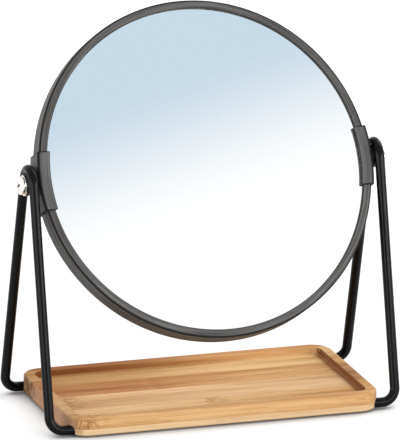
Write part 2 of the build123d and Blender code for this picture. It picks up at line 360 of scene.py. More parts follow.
# What hands and cloths leave on a smooth finish: cloudy patches and fine wiping marks.
handled, given, result = new_group(
    "handled", {"Vector": "Vector", "Clean": "Float", "Touched": "Float"}, {"Roughness": "Float"}
)
clouds = add_noise(handled, given["Vector"], 70, 4)
wiping = add(handled, "VectorMath", {0: given["Vector"], 1: (300, 1500, 700)}, operation="MULTIPLY")
marks = add_noise(handled, wiping.outputs[0], 1, 2)
touched = add_math(handled, "MULTIPLY_ADD", marks, 0.35, add_math(handled, "MULTIPLY", clouds, 0.65))
roughness = add_range(handled, touched, 0.35, 0.68, given["Clean"], given["Touched"])
handled.links.new(roughness, result["Roughness"])


def add_handling(tree, place, clean, touched):
    """Roughness of a finish that has been handled, between these two values."""
    values = {"Vector": place, "Clean": clean, "Touched": touched}
    return add(tree, "Group", values, node_tree=handled).outputs[0]


satin_black, tree, shader = new_material("satin_black", Specular_IOR_Level=0.125)
place = own_place(tree)
peel = add_noise(tree, place, 1500, 3)
flecks = add_range(tree, add_noise(tree, place, 5200, 1), 0.66, 0.74)
coat = add_mix(tree, add_noise(tree, place, 90, 4), paint(3, 3, 4), paint(9, 9, 9))
connect(
    tree, shader,
    Base_Color=add_mix(tree, flecks, coat, paint(26, 26, 28)),
    Roughness=add_handling(tree, place, 0.17, 0.27),
    Normal=add_relief(tree, peel, 0.3, 0.00006),
)

for side_name, side in left_and_right:
    route = rounded(
        (
            (0, -foot_y, run_z),
            (side * wire_plane_x, -foot_y, run_z),
            (side * wire_plane_x, 0, leg_apex_z),
            (side * wire_plane_x, foot_y, run_z),
            (0, foot_y, run_z),
        ),
        (foot_bend_r, top_bend_r, foot_bend_r),
        bend_steps,
    )
    wire = tube(f"{side_name}_wire", route, wire_r)
    fit(wire, "stand", satin_black, f"{side_name}_wire_side")

# ---------------------------------------------------------------- tabs
# Four flat steel tabs with a screw hole each, welded to the wire's runs before it is coated. They lie
# in pockets in the underside of the tray.
tab_names = [f"{end}_{side_name}_tab" for end in ("front", "rear") for side_name in ("left", "right")]


def finish_solid(node, material):
    """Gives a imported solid, whose shape stays as it is, its material."""
    solid = frame["nodes"][node]
    solid.data.materials.clear()
    solid.data.materials.append(material)


for name in tab_names:
    finish_solid(name, satin_black)

# ---------------------------------------------------------------- bamboo tray
# One board glued up from bamboo strips, with a milled recess, rounded and sanded edges, a groove in
# its underside for each run of the wire, and a pocket beside the groove for each tab.
tray_corner_r = 0.0106
tray_edge_r = 0.0014
tray_rim = 0.0057
recess_depth = 0.0036
recess_floor_r = 0.0008
recess_lip_r = 0.0005
groove_play = 0.0001
tab_play = 0.00015
corner_steps = 14
edge_steps = 6
groove_steps = 24
tray_low, tray_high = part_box("tray")
tray_length = tray_high.x - tray_low.x
tray_depth = tray_high.y - tray_low.y
recess_floor = tray_high.z - recess_depth


def tray_ring(inset, height):
    """The tray's outline, so far inside its edge, at this height."""
    x = tray_length / 2 - inset
    y = tray_depth / 2 - inset
    corners = ((-x, -y, height), (x, -y, height), (x, y, height), (-x, y, height))
    return rounded(corners, [tray_corner_r - inset] * 4, corner_steps, closed=True)


def arc(start, end, radius, centre_inset, centre_height, steps):
    """Rings along a rounding of the tray's section; angles in degrees, 0 points outwards, 90 up."""
    angles = [radians(start + (end - start) * n / steps) for n in range(steps + 1)]
    return [
        tray_ring(centre_inset - radius * cos(a), centre_height + radius * sin(a)) for a in angles
    ]


def combine(piece, operation, *others):
    """Takes other meshes out of a piece, or adds them to it, and removes them."""
    for other in others:
        boolean = piece.modifiers.new("boolean", "BOOLEAN")
        boolean.operation = operation
        boolean.solver = "EXACT"
        boolean.object = other
    settle(piece)
    for other in others:
        bpy.data.objects.remove(other)


def settle(piece):
    """Makes what a piece's modifiers do part of its mesh."""
    seen = piece.evaluated_get(bpy.context.evaluated_depsgraph_get())
    mesh = bpy.data.meshes.new_from_object(seen)
    piece.modifiers.clear()
    piece.data = mesh
    shade(mesh)


tray = skin("bamboo_tray", [
    *arc(-90, 0, tray_edge_r, tray_edge_r, tray_low.z + tray_edge_r, edge_steps),
    *arc(0, 90, tray_edge_r, tray_edge_r, tray_high.z - tray_edge_r, edge_steps),
    *arc(90, 180, recess_lip_r, tray_rim - recess_lip_r, tray_high.z - recess_lip_r, edge_steps),
    *arc(0, -90, recess_floor_r, tray_rim + recess_floor_r, recess_floor + recess_floor_r, edge_steps),
])
groove_r = wire_r + groove_play
cutters = []
for end in (-1, 1):
    angles = [pi * n / groove_steps for n in range(groove_steps + 1)]
    section = [(groove_r * cos(a), run_z + groove_r * sin(a)) for a in angles]
    section += [(-groove_r, -wire_r), (groove_r, -wire_r)]
    cutters.append(skin("groove", [
        [Vector((x, end * foot_y + y, z)) for y, z in section] for x in (-tray_length, tray_length)
    ]))
play = Vector((tab_play,) * 3)
for name in tab_names:
    low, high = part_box(name)
    low, high = low - play, high + play
    outline = ((low.x, low.y), (high.x, low.y), (high.x, high.y), (low.x, high.y))
    cutters.append(skin("pocket", [[Vector((x, y, z)) for x, y in outline] for z in (-wire_r, high.z)]))
combine(tray, "DIFFERENCE", *cutters)

# The strips lie along X. Each has its own tones and one joint of the cane, where the grain wanders,
# with a pale ridge and a dark mottled patch behind it. A lower ply is glued on with other seams.
# The rear strips are darker towards the left: painted shade where the mirror above shades them.
strips = (
    # front edge, tone at the left, tone at the right, place of its cane joint along X
    (-0.0443, paint(222, 175, 120), paint(229, 181, 127), -0.0770),
    (-0.0365, paint(230, 187, 134), paint(215, 167, 110), -0.0060),
    (-0.0181, paint(225, 182, 133), paint(224, 182, 134), -0.0765),
    (0.0031, paint(183, 125, 72), paint(213, 163, 107), -0.0240),
    (0.0219, paint(193, 148, 96), paint(228, 186, 131), 0.0830),
    (0.0385, paint(155, 99, 55), paint(199, 147, 93), -0.0830),
)
ply_seam = 0.0045
ply_shift = 0.0093
joint_wander = 0.005
grain_bend = 0.0016

# How far the small marks reach. A pair holds the two distances between which one begins or ends.
ridge_ends = (0.0003, 0.0022)
patch_begins = (-0.002, 0.004)
patch_ends = (0.006, 0.016)
strokes_end = (0.004, 0.0095)
seam_ends = (0.00008, 0.00030)
ply_line_less = 0.00012
rim_shade_over = 0.0018
rim_shade_run = 0.0020
foot_shade_width = 0.0030


def add_ramp(tree, value, stops, kind="LINEAR"):
    """A colour looked up along stops of position and colour."""
    ramp = add(tree, "ValToRGB", {0: value})
    ramp.color_ramp.interpolation = kind
    for number, (position, colour) in enumerate(stops):
        if number > 1:
            ramp.color_ramp.elements.new(position)
        ramp.color_ramp.elements[number].position = position
        ramp.color_ramp.elements[number].color = colour
    return ramp.outputs[0]


def grey(value):
    """A grey of this strength."""
    return (value, value, value, 1)


def stretched(tree, x, y, z, scale, detail=2.0):
    """Noise with its own scale along each axis."""
    vector = add(tree, "CombineXYZ", {0: x, 1: y, 2: z}).outputs[0]
    scaled = add(tree, "VectorMath", {0: vector, 1: scale}, operation="MULTIPLY").outputs[0]
    return add_noise(tree, scaled, 1, detail)


def opposite(tree, mask):
    """1 where the mask is 0, and 0 where it is 1."""
    return add_math(tree, "SUBTRACT", 1.0, mask)


def apart(tree, a, b):
    """How far apart two values lie."""
    return add_math(tree, "ABSOLUTE", add_math(tree, "SUBTRACT", a, b))


def stain(tree, under, mask, strength, colour):
    """A colour laid over another one where the mask is, at this strength."""
    return add_mix(tree, add_math(tree, "MULTIPLY", mask, strength), under, colour)


bamboo, tree, shader = new_material("bamboo", Specular_IOR_Level=0.15)
coordinates = add(tree, "TexCoord").outputs
x, y, z = add(tree, "SeparateXYZ", {0: coordinates["Object"]}).outputs
lower_ply = add_math(tree, "LESS_THAN", z, ply_seam)
across = add_math(tree, "MULTIPLY_ADD", lower_ply, ply_shift, y)
share = add_range(tree, across, -tray_depth / 2, tray_depth / 2, kind="LINEAR")
positions = [(strip[0] + tray_depth / 2) / tray_depth for strip in strips]
# Each strip's tone runs from its left to its right end; in the rear strips the darker left ends are
# painted shade.
left_tone_and_shade, right_tone = [
    add_ramp(tree, share, [(p, s[column]) for p, s in zip(positions, strips)], "CONSTANT")
    for column in (1, 2)
]
tone = add_mix(tree, add_range(tree, x, -0.045, 0.050), left_tone_and_shade, right_tone)
number = add_ramp(
    tree, share, [(p, grey(n / len(strips))) for n, p in enumerate(positions)], "CONSTANT"
)
lot = add(
    tree, "TexWhiteNoise", {"W": add_math(tree, "MULTIPLY_ADD", lower_ply, 0.37, number)},
    noise_dimensions="1D",
).outputs["Value"]
joints = [(p, grey(0.5 + s[3] / tray_length)) for p, s in zip(positions, strips)]
joint_share = add_ramp(tree, share, joints, "CONSTANT")
joint_x = add_range(tree, joint_share, 0, 1, -tray_length / 2, tray_length / 2, "LINEAR")
wander = add_math(tree, "SUBTRACT", stretched(tree, 0.0, y, z, (1, 330, 330)), 0.5)
past_joint = add_math(tree, "SUBTRACT", x, joint_x)
from_joint = add_math(tree, "MULTIPLY_ADD", wander, joint_wander, past_joint)
near_joint = add_range(tree, add_math(tree, "ABSOLUTE", from_joint), *ridge_ends, 1, 0)
behind = add_math(
    tree, "MULTIPLY",
    add_range(tree, from_joint, *patch_begins), add_range(tree, from_joint, *patch_ends, 1, 0),
)
blotches = add_range(tree, stretched(tree, x, y, z, (300, 620, 450), 4), 0.38, 0.64)
mottled = add_math(tree, "MULTIPLY", behind, blotches)

along = add_math(tree, "MULTIPLY_ADD", lot, 0.9, x)
bends = add_math(tree, "MULTIPLY", near_joint, wander)
bent = add_math(tree, "MULTIPLY_ADD", bends, grain_bend, y)
streaks = stretched(tree, along, bent, z, (8, 170, 260), 3)
fibres = stretched(tree, along, bent, z, (32, 1500, 1700), 3)
bundles = add_range(tree, stretched(tree, along, bent, z, (85, 1250, 1500), 1), 0.60, 0.72)
wood = add_mix(tree, 1.0, tone, add_ramp(tree, streaks, (
    (0.28, (0.74, 0.62, 0.48, 1)), (0.50, (1, 1, 1, 1)), (0.72, (1.11, 1.15, 1.22, 1)),
)), "MULTIPLY")
wood = add_mix(tree, 1.0, wood, add_ramp(tree, fibres, (
    (0.30, (0.82, 0.74, 0.64, 1)), (0.52, (1, 1, 1, 1)), (0.75, (1.07, 1.09, 1.12, 1)),
)), "MULTIPLY")
wood = stain(tree, wood, bundles, 0.30, paint(150, 98, 55))
wood = stain(tree, wood, near_joint, 0.04, paint(244, 212, 162))
wood = stain(tree, wood, mottled, 0.80, paint(172, 114, 56))
wood = stain(tree, wood, lower_ply, 0.50, paint(246, 216, 174))

# The short rims are a little darker than the floor between them, the right one most in its middle.
rim_from = tray_length / 2 - tray_rim - rim_shade_over
rim_to = rim_from + rim_shade_run
right_shade = add_range(tree, apart(tree, y, -0.006), 0.003, 0.024, 1.0, 0.1)
left_shade = add_range(tree, y, -0.030, 0.010, 0.42, 0.18)
at_the_right = add_math(tree, "MULTIPLY", add_range(tree, x, rim_from, rim_to), right_shade)
at_the_left = add_math(tree, "MULTIPLY", add_range(tree, x, -rim_from, -rim_to), left_shade)
short_rims = add_math(tree, "ADD", at_the_left, at_the_right)
uneven = add_range(tree, streaks, 0.3, 0.7, 1, 0.6)
wood = stain(tree, wood, short_rims, uneven, paint(142, 90, 47))

# A thin dark line shows where two strips meet, and a fainter one where the two plies meet.
seams = add_math(tree, "ADD", apart(tree, z, ply_seam), ply_line_less)
for strip in strips[1:]:
    seams = add_math(tree, "MINIMUM", seams, apart(tree, across, strip[0]))
wood = stain(tree, wood, add_range(tree, seams, *seam_ends, 1, 0), 0.30, paint(160, 104, 58))

# On the sides the vessels of a cane joint stand as short dark strokes.
facing = add(tree, "SeparateXYZ", {0: coordinates["Normal"]}).outputs
upright = add_range(tree, add_math(tree, "ABSOLUTE", facing[2]), 0.35, 0.8, 1, 0)
joint_reach = add_range(tree, add_math(tree, "ABSOLUTE", from_joint), *strokes_end, 1, 0)
strokes = add_range(tree, stretched(tree, x, y, z, (2100, 2100, 330), 1), 0.47, 0.60)
strokes = add_math(tree, "MULTIPLY", add_math(tree, "MULTIPLY", strokes, joint_reach), upright)
strokes = add_math(tree, "MULTIPLY", strokes, opposite(tree, lower_ply))
wood = stain(tree, wood, strokes, 0.70, paint(128, 78, 38))

# Across the ends the cut fibre bundles show as dots, a little redder, and the rear corners are
# knotty and dark.
end_face = add_range(tree, add_math(tree, "ABSOLUTE", facing[0]), 0.55, 0.9)
flat = add(tree, "CombineXYZ", {1: y, 2: z}).outputs[0]
cells = add(tree, "TexVoronoi", {"Vector": flat, "Scale": 1500}).outputs["Distance"]
dots = add_range(tree, cells, 0.18, 0.5, 0.55, 0)
cut_ends = stain(tree, paint(196, 152, 122), streaks, 0.6, paint(176, 132, 100))
cut_ends = add_mix(tree, dots, cut_ends, paint(146, 100, 70))
knotty = add_range(tree, stretched(tree, x, y, z, (200, 520, 300), 3), 0.30, 0.58)
knotty = add_math(tree, "MULTIPLY", knotty, add_range(tree, y, 0.012, 0.024, 0.15, 1.0))
cut_ends = add_mix(tree, knotty, cut_ends, paint(84, 50, 28))
wood = stain(tree, wood, end_face, 0.85, cut_ends)

# Painted shade: the recess walls are darker brown, most of all at the right and rear left, where the
# walls face away from the light or lie in the mirror's shadow.
profile = add(tree, "SeparateXYZ", {0: add(tree, "UVMap", uv_map="lay").outputs[0]}).outputs[0]
edge_run = tray_edge_r * pi / 2
side_run = tray_high.z - tray_low.z - 2 * tray_edge_r
rim_top_end = 2 * edge_run + side_run + tray_rim - tray_edge_r - recess_lip_r
wall_start = rim_top_end + recess_lip_r * pi / 2
wall_end = wall_start + recess_depth - recess_lip_r - recess_floor_r
cove_end = wall_end + recess_floor_r * pi / 2
past_lip = add_range(tree, profile, rim_top_end, wall_start)
wall = add_math(tree, "MULTIPLY", past_lip, add_range(tree, profile, wall_end, cove_end, 1, 0))
leftwards = add_range(tree, x, -0.060, 0.035, 1.0, 0.0)
forwards = add_range(tree, y, 0.012, 0.034, 1.0, 0.6)
short_walls = add_math(tree, "MULTIPLY", add_math(tree, "ABSOLUTE", facing[0]), forwards)
painted_wall_shade = add_math(tree, "MULTIPLY", wall, add_math(tree, "MAXIMUM", short_walls, leftwards))
wood = stain(tree, wood, painted_wall_shade, 0.88, paint(118, 61, 20))

# Painted shade darkens the recess floor towards the foot of the right wall, in the corner.
cove_top = recess_floor + recess_floor_r
low_down = add_range(tree, z, recess_floor + recess_floor_r * 0.3, cove_top, 1, 0)
on_floor = add_math(tree, "MULTIPLY", opposite(tree, upright), low_down)
foot_x = tray_length / 2 - tray_rim - recess_floor_r
painted_foot_shade = add_math(tree, "MULTIPLY", on_floor, add_range(tree, x, foot_x - foot_shade_width, foot_x))
wood = stain(tree, wood, painted_foot_shade, 0.75, paint(134, 76, 32))

# A painted highlight runs as a pale line along the rounded upper edge; along the lower edge the sides
# are paler as well, except on the ends.
from_edge = apart(tree, profile, edge_run * 1.5 + side_run)
upper_edge = add_range(tree, from_edge, edge_run * 0.2, edge_run * 0.6, 1, 0)
painted_edge_highlight = add_math(tree, "MULTIPLY", upper_edge, add_range(tree, streaks, 0.35, 0.6, 0.5, 1.0))
wood = stain(tree, wood, painted_edge_highlight, 0.10, paint(250, 208, 158))
lower_edge = add_range(tree, z, tray_low.z + tray_edge_r, tray_low.z + tray_edge_r * 1.6, 1, 0)
lower_edge = add_math(tree, "MULTIPLY", lower_edge, opposite(tree, end_face))
wood = stain(tree, wood, lower_edge, 0.40, paint(250, 222, 184))
relief = add_math(tree, "SUBTRACT", fibres, add_math(tree, "MULTIPLY", bundles, 0.6))
connect(
    tree, shader,
    Base_Color=wood,
    Roughness=add_range(tree, fibres, 0.3, 0.7, 0.66, 0.54, "LINEAR"),
    Normal=add_relief(tree, relief, 0.25, 0.00010),
)
fit(tray, "stand", bamboo, "tray")

# ---------------------------------------------------------------- pads
# Four thin discs of black rubber with soft edges, stuck to the underside of the tray. They lift the
# tray and the wire off the table by less than a millimetre and keep them from sliding.
pad_r = 0.0045
pad_edge = 0.00025


def turned(name, profile, centre=Vector((0, 0, 0)), turn=Matrix.Identity(3), closed=False, sides=96):
    """A mesh turned round its axis, from distances along it and radii."""
    return skin(name, [
        [
            centre + turn @ Vector((r * cos(2 * pi * n / sides), r * sin(2 * pi * n / sides), z))
            for n in range(sides)
        ]
        for z, r in profile
    ], closed)


def join(pieces, name):
    """Several meshes as one piece."""
    joined = bmesh.new()
    for piece in pieces:
        joined.from_mesh(piece.data)
        bpy.data.objects.remove(piece)
    mesh = bpy.data.meshes.new(name)
    joined.to_mesh(mesh)
    joined.free()
    return object_from(name, mesh)


def rubber(name, dark, dusty, rough):
    """Matt rubber with a fine grain and some dust."""
    material, tree, shader = new_material(name, Specular_IOR_Level=0.3)
    place = own_place(tree)
    grain = add_noise(tree, place, 3200, 3)
    dust = add_range(tree, add_noise(tree, place, 260, 4), 0.40, 0.70)
    connect(
        tree, shader,
        Base_Color=add_mix(tree, dust, dark, dusty),
        Roughness=add_range(tree, grain, 0.3, 0.7, rough - 0.1, rough),
        Normal=add_relief(tree, grain, 0.3, 0.00005),
    )
    return material


pad_rubber = rubber("pad_rubber", paint(36, 36, 36), paint(58, 57, 55), 0.85)
pad_low, pad_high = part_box("non_slip_pads")
discs = []
for x in (pad_low.x + pad_r, pad_high.x - pad_r):
    for y in (pad_low.y + pad_r, pad_high.y - pad_r):
        discs.append(turned("pad", [
            (0, pad_r - pad_edge), (pad_edge * 0.3, pad_r - pad_edge * 0.3), (pad_edge, pad_r),
            (pad_high.z, pad_r),
        ], Vector((x, y, 0))))
fit(join(discs, "pads"), "stand", pad_rubber, "non_slip_pads")

# ---------------------------------------------------------------- rim
# A channel rolled from sheet steel in two half hoops, plated dark grey and brushed round the hoop.
# A lip at the front and one at the rear hold the two glasses.
rim_face = 0.0043
rim_sheet = 0.0009
rim_edge_r = 0.00085
rim_lip_r = 0.00035
rim_joint_gap = 0.0003
rim_dark_edge = 0.0012
rim_dark_lip = 0.0005
fold_r = 0.0001
section_steps = 6
hoop_steps = 140

# The mirror's own axes: X along the tilt axis and Z out of its front face, square to the core board.
core_mesh = frame["nodes"]["core_board"].data
flat_face = max(core_mesh.polygons, key=lambda face: face.area)
front = flat_face.normal if flat_face.normal.y < 0 else -flat_face.normal
mirror_turn = Matrix((Vector((1, 0, 0)), front.cross(Vector((1, 0, 0))), front)).transposed()
mirror_place = Matrix.Translation(pivot) @ mirror_turn.to_4x4()


def mirror_box(node):
    """Lowest and highest corner of a plain solid along the mirror's own axes, from its middle."""
    inverse = mirror_place.inverted()
    points = [inverse @ vertex.co for vertex in frame["nodes"][node].data.vertices]
    low = Vector([min(point[axis] for point in points) for axis in range(3)])
    high = Vector([max(point[axis] for point in points) for axis in range(3)])
    return low, high


rim_high = mirror_box("upper_rim")[1]
rim_outer_r = rim_high.y
rim_half = rim_high.z
opening_r = rim_outer_r - rim_face


def channel(inner_r, outer_r, half, sheet, corner_r, lip_r):
    """Section of a channel that opens inwards, from radii and heights, with rounded corners."""
    corners = (
        (inner_r, half), (outer_r, half), (outer_r, -half), (inner_r, -half),
        (inner_r, sheet - half), (outer_r - sheet, sheet - half),
        (outer_r - sheet, half - sheet), (inner_r, half - sheet),
    )
    radii = (lip_r, corner_r, corner_r, lip_r, lip_r, fold_r, fold_r, lip_r)
    return [point.to_2d() for point in rounded(corners, radii, section_steps, closed=True)]


def add_length(tree, a, b):
    """Length of a flat vector with these two parts."""
    vector = add(tree, "CombineXYZ", {0: a, 1: b}).outputs[0]
    return add(tree, "VectorMath", {0: vector}, operation="LENGTH").outputs["Value"]


# Fine lines that a brushing wheel leaves round the mirror's axis, with slow changes of tone.
round_brushing, given, result = new_group(
    "round_brushing", {"Vector": "Vector", "Radius": "Float"}, {"Lines": "Float", "Tone": "Float"}
)
x, y, z = add(round_brushing, "SeparateXYZ", {0: given["Vector"]}).outputs
turned_by = add_math(round_brushing, "ARCTAN2", y, x)
along = add_math(round_brushing, "MULTIPLY", turned_by, given["Radius"])
out = add_length(round_brushing, x, y)
for name, scale, detail in (("Lines", (30, 1500, 1500), 4), ("Tone", (22, 260, 260), 3)):
    round_brushing.links.new(stretched(round_brushing, along, out, z, scale, detail), result[name])

# Painted dark reflection and shade along the rolled edges and lips: 1 on the edge and 0 a little way
# from it.
painted_dark_edge, given, result = new_group(
    "painted_dark_edge", {"Vector": "Vector", "Radius": "Float", "Height": "Float", "Width": "Float"},
    {"Mask": "Float"},
)
x, y, z = add(painted_dark_edge, "SeparateXYZ", {0: given["Vector"]}).outputs
aside = add_math(painted_dark_edge, "SUBTRACT", add_length(painted_dark_edge, x, y), given["Radius"])
above = add_math(painted_dark_edge, "SUBTRACT", add_math(painted_dark_edge, "ABSOLUTE", z), given["Height"])
away = add_length(painted_dark_edge, aside, above)
full_width = add_math(painted_dark_edge, "MULTIPLY", given["Width"], 0.45)
mask = add_range(painted_dark_edge, away, full_width, given["Width"], 1, 0)
painted_dark_edge.links.new(mask, result["Mask"])


def gunmetal(name, half, low, high, corner_r, corner_width, lip_r, lip_width):
    """Dark grey finish, brushed round the mirror, with near-black rolled edges and lip ends, which are
    painted dark reflection and shade.
    """
    material, tree, shader = new_material(
        name, Specular_IOR_Level=0.15, Specular_Tint=(0.5, 0.49, 0.47, 1)
    )
    place = own_place(tree)
    brushing = add(tree, "Group", {"Vector": place, "Radius": rim_outer_r}, node_tree=round_brushing)
    lines, tone = brushing.outputs
    colour = add_mix(tree, add_range(tree, lines, 0.34, 0.66), low, high)
    slow = add_range(tree, tone, 0.3, 0.7, 0.88, 1.12)
    colour = add_mix(tree, 1.0, colour, slow, "MULTIPLY")
    metal = 0.4
    for radius, width, strength in ((corner_r, corner_width, 0.95), (lip_r, lip_width, 0.7)):
        mask = add(tree, "Group", {
            "Vector": place, "Radius": radius, "Height": half, "Width": width,
        }, node_tree=painted_dark_edge).outputs[0]
        colour = stain(tree, colour, mask, strength, paint(22, 22, 24))
        metal = add_math(tree, "MULTIPLY", opposite(tree, mask), metal)
    connect(
        tree, shader,
        Base_Color=colour,
        Metallic=metal,
        Roughness=add_handling(tree, place, 0.40, 0.52),
        Normal=add_relief(tree, lines, 0.2, 0.00003),
    )
    return material, tree, shader


gunmetal_rim = gunmetal(
    "gunmetal_rim", rim_half, paint(73, 72, 71), paint(105, 104, 102),
    rim_outer_r, rim_dark_edge, opening_r, rim_dark_lip,
)[0]
section = channel(opening_r, rim_outer_r, rim_half, rim_sheet, rim_edge_r, rim_lip_r)
joint_angle = rim_joint_gap / 2 / rim_outer_r
for half_name, start in (("upper", 0), ("lower", pi)):
    rings = []
    for n in range(hoop_steps + 1):
        angle = start + joint_angle + (pi - 2 * joint_angle) * n / hoop_steps
        rings.append([Vector((r * cos(angle), r * sin(angle), z)) for r, z in section])
    hoop = skin(f"{half_name}_hoop", rings)
    hoop.matrix_world = mirror_place
    fit(hoop, "mirror", gunmetal_rim, f"{half_name}_rim")

# ---------------------------------------------------------------- glasses, seals and core
# Two round mirror glasses with ground edges, one facing the front and one the rear, each pressed on
# a thin rubber ring behind its lip by a board between them.
glass_edge = 0.0003
glass_sides = 256
silvered, tree, shader = new_material("silvered_glass", Metallic=1.0)
place = own_place(tree)
haze = add_noise(tree, place, 25, 3)
silver = add_mix(tree, haze, (0.985, 0.990, 0.988, 1), (0.995, 0.996, 0.996, 1))
connect(tree, shader, Base_Color=silver, Roughness=add_handling(tree, place, 0.0, 0.012))
seal_rubber = rubber("seal_rubber", paint(26, 26, 27), paint(40, 40, 40), 0.75)
for face_name, face in (("front", 1), ("rear", -1)):
    low, high = mirror_box(f"{face_name}_mirror")
    glass_r = high.x
    inner, outer = (low.z, high.z) if face > 0 else (high.z, low.z)
    glass = turned(f"{face_name}_glass", [
        (inner, glass_r - glass_edge), (inner + face * glass_edge, glass_r),
        (outer - face * glass_edge, glass_r), (outer, glass_r - glass_edge),
    ], sides=glass_sides)
    glass.matrix_world = mirror_place
    fit(glass, "mirror", silvered, f"{face_name}_mirror")

    low, high = mirror_box(f"{face_name}_gasket")
    seal = turned(f"{face_name}_seal", [
        (low.z, opening_r), (low.z, high.x), (high.z, high.x), (high.z, opening_r),
    ], closed=True, sides=glass_sides)
    seal.matrix_world = mirror_place
    fit(seal, "mirror", seal_rubber, f"{face_name}_gasket")

# The front glass looks up at a softly lit wall that is pale blue above and white below.
wall_reach = 1.2
wall_width = 0.26
wall_blue = paint(200, 219, 233)
wall_white = (1.02, 1.02, 1.02, 1)
blue_above = 0.0694
white_below = -0.0246
glance = -back - front * 2 * front.dot(-back)
wall_up = (Vector((0, 0, 1)) - glance * glance.z).normalized()
sky_wall = object_from("sky_wall", bpy.data.meshes.new("sky_wall"))
sky_wall.data.from_pydata(
    [(a * wall_width / 2, b * wall_width / 2, 0) for a, b in ((-1, -1), (1, -1), (1, 1), (-1, 1))],
    [], [(0, 1, 2, 3)],
)
sky_wall.matrix_world = Matrix.Translation(pivot + glance * wall_reach) @ Matrix(
    (wall_up.cross(-glance), wall_up, -glance)
).transposed().to_4x4()
for sight in ("visible_camera", "visible_diffuse", "visible_shadow", "visible_transmission"):
    setattr(sky_wall, sight, False)
sky_paint = bpy.data.materials.new("sky_paint")
sky_paint.use_nodes = True
tree = sky_paint.node_tree
tree.nodes.clear()
height = add(tree, "SeparateXYZ", {0: own_place(tree)}).outputs[1]
fade = add_range(tree, height, white_below, blue_above)
glow = add(tree, "Emission", {"Color": add_mix(tree, fade, wall_white, wall_blue)})
add(tree, "OutputMaterial", {"Surface": glow.outputs[0]})
sky_wall.data.materials.append(sky_paint)
sky_wall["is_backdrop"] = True

# The board between the glasses shows short flakes in pressed pulp.
fibreboard, tree, shader = new_material("fibreboard", Specular_IOR_Level=0.3)
place = own_place(tree)
flakes = {"Vector": place, "Scale": 900}
chips = add(tree, "TexVoronoi", flakes, distance="CHEBYCHEV").outputs["Distance"]
pulp = add_mix(tree, add_noise(tree, place, 350, 4), paint(132, 100, 70), paint(168, 136, 100))
connect(
    tree, shader,
    Base_Color=stain(tree, pulp, add_range(tree, chips, 0.1, 0.5, 1, 0), 0.5, paint(108, 78, 52)),
    Roughness=add_range(tree, chips, 0.0, 0.6, 0.92, 0.78),
    Normal=add_relief(tree, chips, 0.3, 0.0001),
)
finish_solid("core_board", fibreboard)

# ---------------------------------------------------------------- joiner plates
# A curved steel plate, plated with zinc, inside the rim at each of its two joints. The pivot screw
# is driven into its tapped hole and pulls plate, rim and clip together.


def plain_metal(name, low, high, clean, touched, scale):
    """A plated or bare metal with small changes of tone and handling marks."""
    material, tree, shader = new_material(name, Metallic=1.0)
    place = own_place(tree)
    patches = add_noise(tree, place, scale, 4)
    connect(
        tree, shader,
        Base_Color=add_mix(tree, patches, low, high),
        Roughness=add_handling(tree, place, clean, touched),
        Normal=add_relief(tree, patches, 0.1, 0.00004),
    )
    return material, tree, shader


zinc = plain_metal("zinc", paint(176, 180, 186), paint(206, 209, 212), 0.30, 0.48, 700)[0]
for side_name, side in left_and_right:
    finish_solid(f"{side_name}_joiner", zinc)

# ---------------------------------------------------------------- clips
# A short channel pressed from sheet that wraps the rim over each joint, its ends cut square to the
# tilt axis, with a flat round seat for the bushing on its outside.
clip_sheet = 0.0011
clip_web_edge_r = 0.0009
clip_edge_r = 0.00045
clip_corner_r = 0.0012
clip_bevel = 0.00015
clip_play = 0.00005
clip_reach = 0.0012
clip_seat = 0.0002
clip_seat_r = 0.0064
clip_seat_edge = 0.00005
clip_dark_edge = 0.0018
clip_dark_lip = 0.0007
end_shade_reach = (0.0004, 0.0009)
clip_steps = 36
clip_low, clip_high = mirror_box("right_clip")
clip_half = clip_high.z
clip_length = clip_high.y - clip_low.y
clip_outer_r = rim_outer_r + clip_play + clip_sheet
clip_inner_r = opening_r - clip_reach
clip_seat_x = clip_outer_r + clip_seat

gunmetal_clip, tree, shader = gunmetal(
    "gunmetal_clip", clip_half, paint(84, 84, 84), paint(108, 108, 107),
    clip_outer_r, clip_dark_edge, clip_inner_r, clip_dark_lip,
)

# The clip's cut ends are painted near-black as well: painted shade of the edge and its shadow on the
# rim.
colour = shader.inputs["Base Color"].links[0].from_socket
height = add(tree, "SeparateXYZ", {0: own_place(tree)}).outputs[1]
from_end = add_math(tree, "SUBTRACT", clip_length / 2, add_math(tree, "ABSOLUTE", height))
painted_end_shade = add_range(tree, from_end, *end_shade_reach, 1, 0)
connect(tree, shader, Base_Color=stain(tree, colour, painted_end_shade, 0.95, paint(26, 26, 28)))


def clip_end(radius):
    """Half the clip's length at this radius: its corners over the glass are rounded."""
    inside = clip_corner_r - (radius - clip_inner_r)
    if inside <= 0:
        return clip_length / 2
    return clip_length / 2 - clip_corner_r + sqrt(max(clip_corner_r**2 - inside**2, 0))


section = channel(clip_inner_r, clip_outer_r, clip_half, clip_sheet, clip_web_edge_r, clip_edge_r)
for side_name, side in left_and_right:
    rings = []
    for n in range(clip_steps + 1):
        ring = []
        for r, z in section:
            angle = asin(clip_end(r) / r) * (2 * n / clip_steps - 1)
            ring.append(Vector((side * r * cos(angle), r * sin(angle), z)))
        rings.append(ring)
    clip = skin(f"{side_name}_rim_clip", rings)
    bevel = clip.modifiers.new("ends", "BEVEL")
    bevel.width = clip_bevel
    bevel.segments = 2
    bevel.limit_method = "ANGLE"
    bevel.angle_limit = radians(60)
    settle(clip)
    outwards, up = Vector((side, 0, 0)), Vector((0, 1, 0))
    seat_turn = Matrix((up, outwards.cross(up), outwards)).transposed()
    seat = turned("seat", [
        (clip_outer_r - clip_sheet / 2, clip_seat_r), (clip_seat_x - clip_seat_edge, clip_seat_r),
        (clip_seat_x, clip_seat_r - clip_seat_edge),
    ], turn=seat_turn)
    combine(clip, "UNION", seat)
    clip.matrix_world = mirror_place
    fit(clip, "mirror", gunmetal_clip, f"{side_name}_clip")

